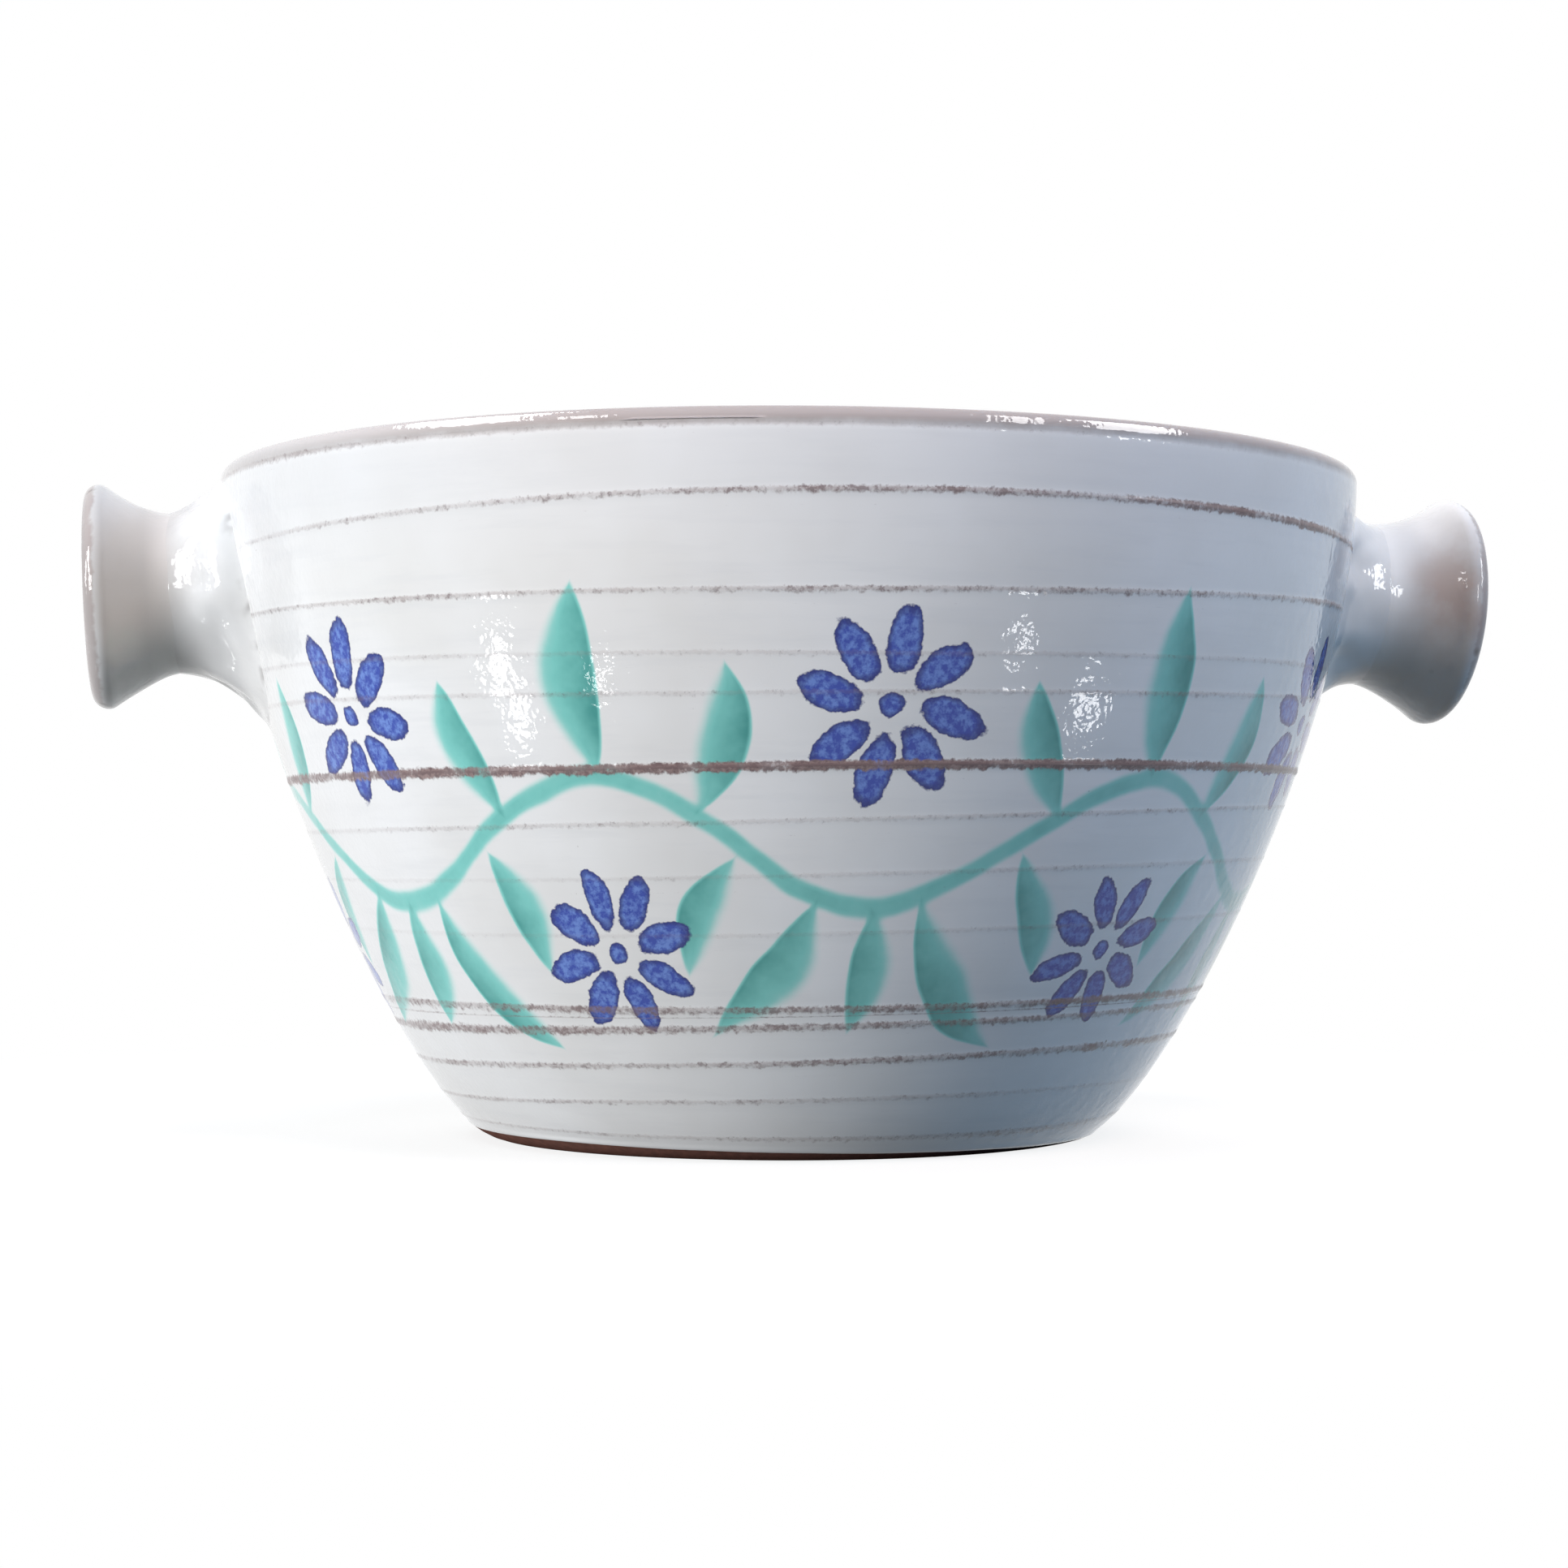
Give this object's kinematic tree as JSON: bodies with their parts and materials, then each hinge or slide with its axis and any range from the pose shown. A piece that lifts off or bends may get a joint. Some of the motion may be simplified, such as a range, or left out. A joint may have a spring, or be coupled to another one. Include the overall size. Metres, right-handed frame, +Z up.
{
  "type": "handled bowl",
  "caption": "Wheel-thrown glazed serving bowl with flaring wall, rounded rim, turned foot and hollow trumpet handles on opposite sides.",
  "frame": {"origin": "centre of the foot, on the table", "axes": "+X towards the right handle, +Z up, the front of the bowl faces -Y"},
  "size_m": [0.3064, 0.2448, 0.142],
  "materials": {
    "bowl_glaze": "glossy white glaze over red-brown clay, brown where it thins on the throwing rings, bare clay at the foot",
    "handle_glaze": "glossy cream-white glaze, thin and pink-brown at the mouth's edge",
    "joint_glaze": "glossy white glaze pooled over a hand-smoothed joint"
  },
  "bodies": {
    "root": {"bowl": "bowl_glaze", "left_handle": "handle_glaze", "right_handle": "handle_glaze", "left_joint_coil": "joint_glaze", "right_joint_coil": "joint_glaze"}
  },
  "joints": []
}
